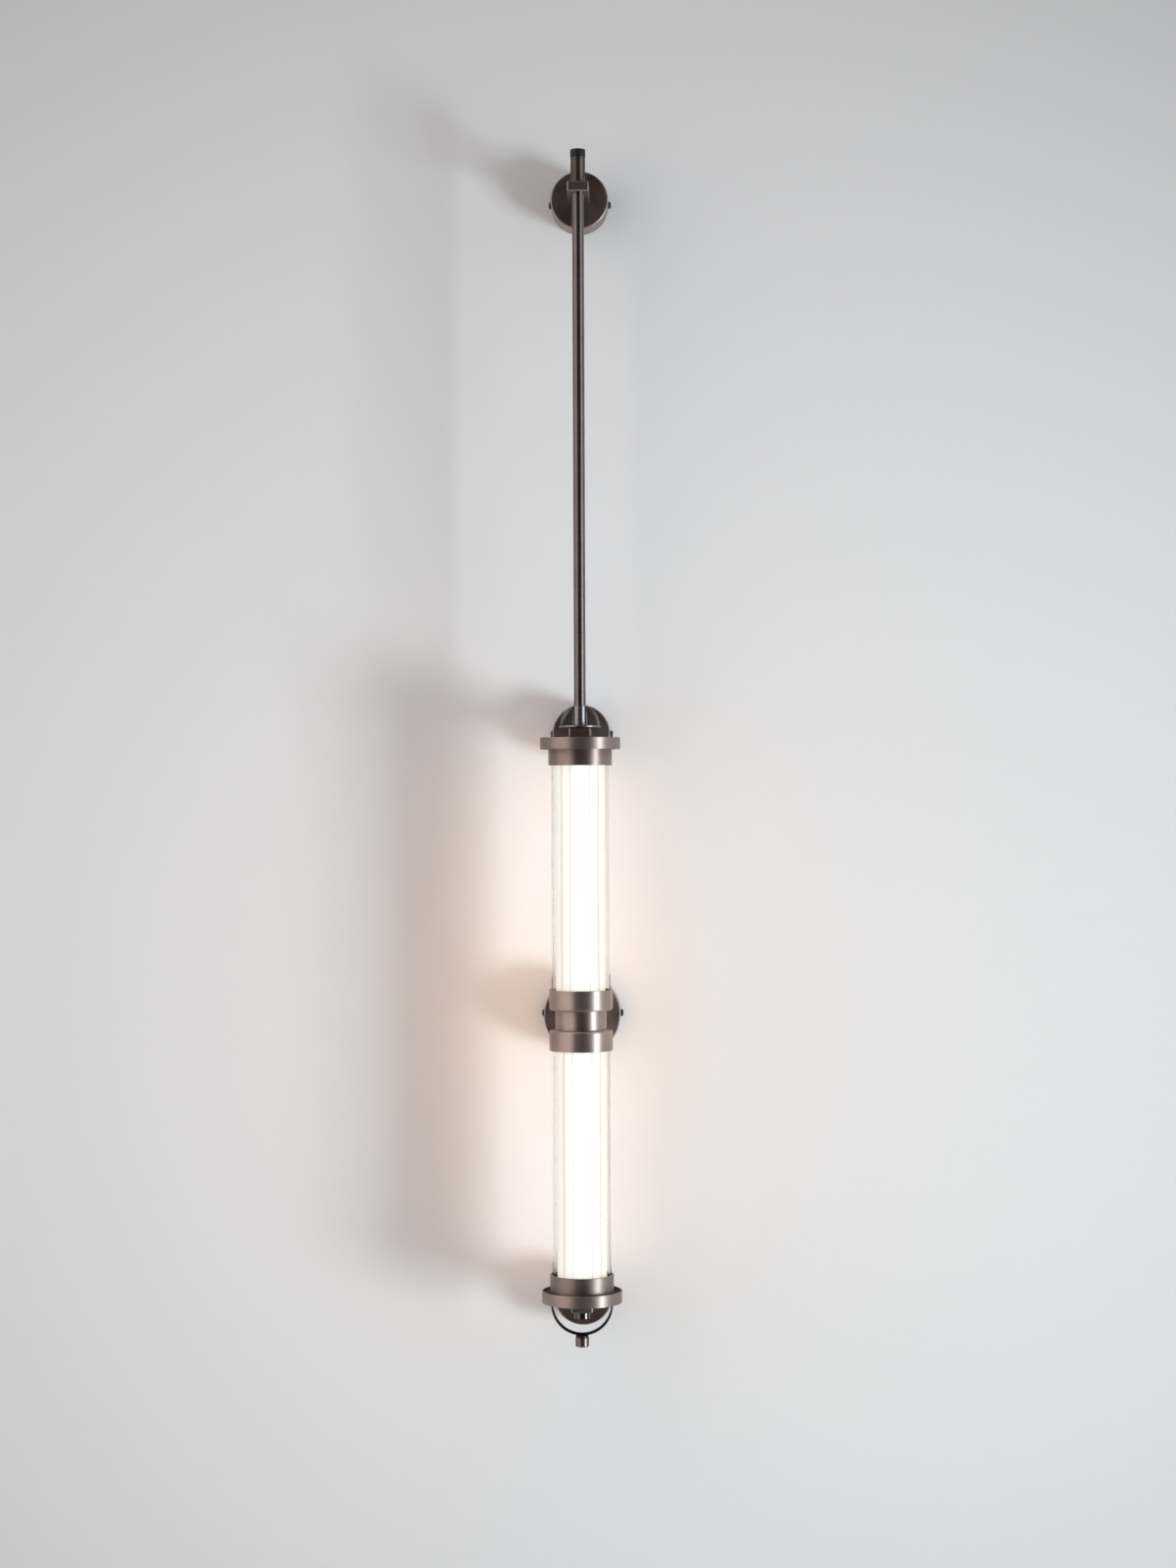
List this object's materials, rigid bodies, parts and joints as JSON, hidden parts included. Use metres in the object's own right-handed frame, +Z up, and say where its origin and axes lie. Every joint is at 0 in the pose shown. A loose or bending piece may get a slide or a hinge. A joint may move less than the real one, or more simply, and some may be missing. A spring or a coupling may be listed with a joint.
{
  "type": "glass wall light",
  "caption": "Upright wall light: two lit reeded glass tubes on one axis under a long stem, held to the wall by round roses on short arms, with a swinging hoop below.",
  "frame": {"origin": "centre of the middle wall bracket's back face, on the wall", "axes": "+Z up along the lamp, +Y into the wall, so the front faces -Y; +X to the right as seen from the room"},
  "size_m": [0.0854, 0.139, 1.2216],
  "materials": {
    "dark_bronze": "brushed dark bronze, lacquered",
    "black_metal": "satin black",
    "black_plastic": "moulded, satin",
    "clear_glass": "polished, reeded outside",
    "opal_acrylic": "opal, lit from inside",
    "aluminium_core": "extruded, anodised",
    "led_strip": "white board with light sources",
    "seal_rubber": "soft, translucent white",
    "zinc_steel": "zinc plated",
    "lead_white": "insulated wire",
    "driver_case": "moulded white case",
    "terminal_case": "moulded block"
  },
  "bodies": {
    "lamp": {"upper_rose": "dark_bronze", "middle_rose": "dark_bronze", "lower_rose": "dark_bronze", "upper_arm": "dark_bronze", "middle_arm": "dark_bronze", "lower_arm": "dark_bronze", "upper_ring": "dark_bronze", "lower_ring": "dark_bronze", "upper_collar": "dark_bronze", "lower_collar": "dark_bronze", "upper_band": "dark_bronze", "lower_band": "dark_bronze", "middle_sleeve": "dark_bronze", "arch_plate": "dark_bronze", "arch_ribs": "dark_bronze", "stem_coupler": "dark_bronze", "stem": "dark_bronze", "lower_nut": "dark_bronze", "hoop_lugs": "dark_bronze", "upper_rose_screws": "black_metal", "middle_rose_screws": "black_metal", "lower_rose_screws": "black_metal", "hoop_pins": "black_metal", "upper_glass": "clear_glass", "lower_glass": "clear_glass", "upper_diffuser": "opal_acrylic", "lower_diffuser": "opal_acrylic", "upper_led_core": "aluminium_core", "lower_led_core": "aluminium_core", "upper_led_strips": "led_strip", "lower_led_strips": "led_strip", "upper_gaskets": "seal_rubber", "lower_gaskets": "seal_rubber", "upper_wall_bracket": "zinc_steel", "middle_wall_bracket": "zinc_steel", "lower_wall_bracket": "zinc_steel", "upper_arm_bolts": "zinc_steel", "lower_arm_bolts": "zinc_steel", "tie_rod": "zinc_steel", "middle_nipple": "zinc_steel", "middle_nipple_nuts": "zinc_steel", "upper_lead": "lead_white", "lower_lead": "lead_white", "driver": "driver_case", "terminal_block": "terminal_case"},
    "top_fixing": {"top_wall_bracket": "zinc_steel", "top_rose": "dark_bronze", "top_rose_screws": "black_metal", "top_arm": "dark_bronze", "top_arm_bolts": "zinc_steel", "top_grub_screw": "black_metal", "top_sleeve": "dark_bronze", "top_end_cap": "black_plastic"},
    "hoop": {"hoop": "dark_bronze", "finial_washer": "black_metal"},
    "finial": {"finial": "dark_bronze"}
  },
  "joints": [
    {"name": "top_fixing_slide", "type": "slide", "parent": "lamp", "child": "top_fixing", "axis": [0, 0, 1], "range_m": [-0.008, 0.008]},
    {"name": "hoop_swing", "type": "hinge", "parent": "lamp", "child": "hoop", "pos_m": [0, -0.098, -0.2906], "axis": [1, 0, 0], "range_deg": [-75, 60]},
    {"name": "finial_turn", "type": "hinge", "parent": "hoop", "child": "finial", "pos_m": [0, -0.098, -0.3241], "axis": [0, 0, 1], "continuous": true}
  ]
}
